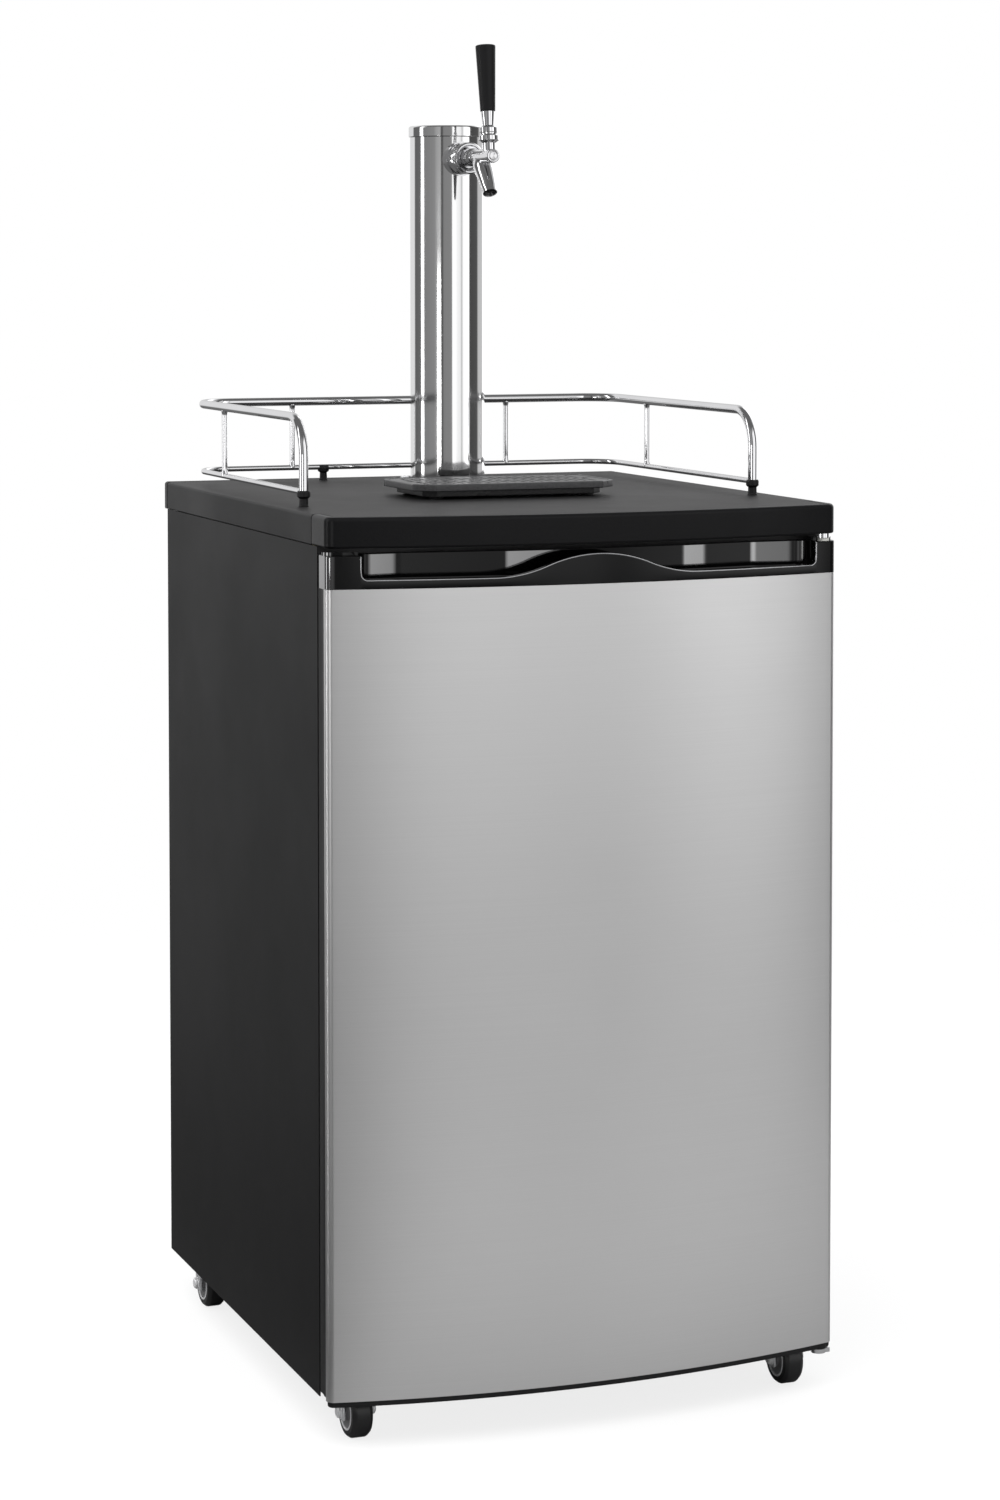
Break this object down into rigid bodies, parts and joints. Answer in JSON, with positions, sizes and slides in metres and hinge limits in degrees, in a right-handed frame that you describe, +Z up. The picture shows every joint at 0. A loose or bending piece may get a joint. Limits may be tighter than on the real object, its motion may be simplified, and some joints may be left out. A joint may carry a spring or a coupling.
{
  "type": "cold brew kegerator",
  "caption": "Black cabinet refrigerator on casters with a bowed stainless door, a railed worktop, a chrome tower with a lever tap and a drip tray, for chilling and pouring keg coffee.",
  "frame": {"origin": "on the floor under the middle of the object's box", "axes": "+Z up, -Y towards the user in front of the door, +X to the right as seen from the front"},
  "size_m": [0.51, 0.5859, 1.3007],
  "materials": {
    "painted_steel": "fine black texture",
    "plain_steel": "satin grey-black",
    "foam": "rigid foam",
    "white_plastic": "satin white",
    "worktop_board": "fine grain",
    "trim_plastic": "pebbled grain",
    "chrome": "polished",
    "stainless": "satin brushed",
    "gloss_black": "gloss",
    "matte_black": "matte",
    "black_rubber": "matte",
    "tyre_rubber": "matte",
    "zinc_steel": "zinc plated",
    "brass": "satin",
    "nylon": "natural",
    "aluminium": "satin",
    "clear_hose": "translucent hose",
    "red_hose": "smooth hose",
    "green_plastic": "moulded"
  },
  "bodies": {
    "cabinet": {"left_panel": "painted_steel", "right_panel": "painted_steel", "rear_panel": "plain_steel", "base_pan": "plain_steel", "insulation": "foam", "inner_liner": "white_plastic", "front_frame": "plain_steel", "worktop": "worktop_board", "worktop_trims": "trim_plastic", "guard_rail": "chrome", "rail_feet": "black_rubber", "tower_flange": "chrome", "tower_tube": "chrome", "tower_cap": "chrome", "shank": "chrome", "coupling_nut": "chrome", "faucet_body": "chrome", "upper_hinge": "chrome", "lower_hinge": "chrome", "caster_plates": "zinc_steel", "rear_forks": "zinc_steel", "compressor": "plain_steel", "condenser": "plain_steel", "evaporator_plate": "aluminium", "thermostat_box": "white_plastic", "cord_gland": "matte_black", "keg_floor": "stainless", "keg_body": "stainless", "keg_rubber": "black_rubber", "keg_fittings": "matte_black", "drink_line": "clear_hose", "gas_line": "red_hose", "gas_cylinder": "aluminium", "cylinder_valve": "brass", "regulator": "aluminium"},
    "door": {"door_skin": "stainless", "door_core": "foam", "door_frame": "matte_black", "door_liner": "white_plastic", "door_gasket": "black_rubber", "handle_strip": "gloss_black", "under_cap": "matte_black", "hinge_bushes": "nylon"},
    "lever": {"tap_lever": "chrome", "tap_ferrule": "chrome", "tap_handle": "matte_black"},
    "plunger": {"tap_plunger": "brass"},
    "tray": {"drip_tray": "gloss_black"},
    "grid": {"drip_grid": "matte_black"},
    "thermostat_dial": {"thermostat_knob": "matte_black"},
    "cylinder_handwheel": {"cylinder_knob": "green_plastic"},
    "regulator_dial": {"regulator_knob": "matte_black"},
    "front_caster_left": {"front_fork_left": "zinc_steel"},
    "front_caster_right": {"front_fork_right": "zinc_steel"},
    "front_roller_left": {"front_wheel_left": "tyre_rubber"},
    "front_roller_right": {"front_wheel_right": "tyre_rubber"},
    "rear_roller_left": {"rear_wheel_left": "tyre_rubber"},
    "rear_roller_right": {"rear_wheel_right": "tyre_rubber"}
  },
  "joints": [
    {"name": "door_swing", "type": "hinge", "parent": "cabinet", "child": "door", "pos_m": [0.243, -0.253, 0.43], "axis": [0, 0, 1], "range_deg": [0, 125]},
    {"name": "lever_pull", "type": "hinge", "parent": "cabinet", "child": "lever", "pos_m": [0, 0.002, 1.1943], "axis": [1, 0, 0], "range_deg": [0, 40]},
    {"name": "plunger_slide", "type": "slide", "parent": "cabinet", "child": "plunger", "axis": [0, 1, 0], "range_m": [0, 0.0044]},
    {"name": "tray_lift", "type": "slide", "parent": "cabinet", "child": "tray", "axis": [0, 0, 1], "range_m": [0, 0.1]},
    {"name": "grid_lift", "type": "slide", "parent": "tray", "child": "grid", "axis": [0, 0, 1], "range_m": [0, 0.06]},
    {"name": "thermostat_turn", "type": "hinge", "parent": "cabinet", "child": "thermostat_dial", "pos_m": [0.15, 0.16, 0.672], "axis": [0, -1, 0], "range_deg": [0, 270]},
    {"name": "cylinder_turn", "type": "hinge", "parent": "cabinet", "child": "cylinder_handwheel", "pos_m": [0.125, -0.0406, 0.55], "axis": [0, 0, 1], "range_deg": [0, 360]},
    {"name": "regulator_turn", "type": "hinge", "parent": "cabinet", "child": "regulator_dial", "pos_m": [0.125, -0.115, 0.5247], "axis": [0, -1, 0], "range_deg": [0, 360]},
    {"name": "front_swivel_left", "type": "hinge", "parent": "cabinet", "child": "front_caster_left", "pos_m": [-0.219, -0.2146, 0.053], "axis": [0, 0, 1], "continuous": true},
    {"name": "front_roll_left", "type": "hinge", "parent": "front_caster_left", "child": "front_roller_left", "pos_m": [-0.219, -0.2276, 0.025], "axis": [1, 0, 0], "continuous": true},
    {"name": "rear_roll_left", "type": "hinge", "parent": "cabinet", "child": "rear_roller_left", "pos_m": [-0.232, 0.208, 0.025], "axis": [1, 0, 0], "continuous": true},
    {"name": "front_swivel_right", "type": "hinge", "parent": "cabinet", "child": "front_caster_right", "pos_m": [0.219, -0.2146, 0.053], "axis": [0, 0, 1], "continuous": true},
    {"name": "front_roll_right", "type": "hinge", "parent": "front_caster_right", "child": "front_roller_right", "pos_m": [0.219, -0.2276, 0.025], "axis": [1, 0, 0], "continuous": true},
    {"name": "rear_roll_right", "type": "hinge", "parent": "cabinet", "child": "rear_roller_right", "pos_m": [0.232, 0.208, 0.025], "axis": [1, 0, 0], "continuous": true}
  ],
  "couplings": [
    {"joint": "plunger_slide", "follows": "lever_pull", "m_per_rad": 0.0062}
  ]
}
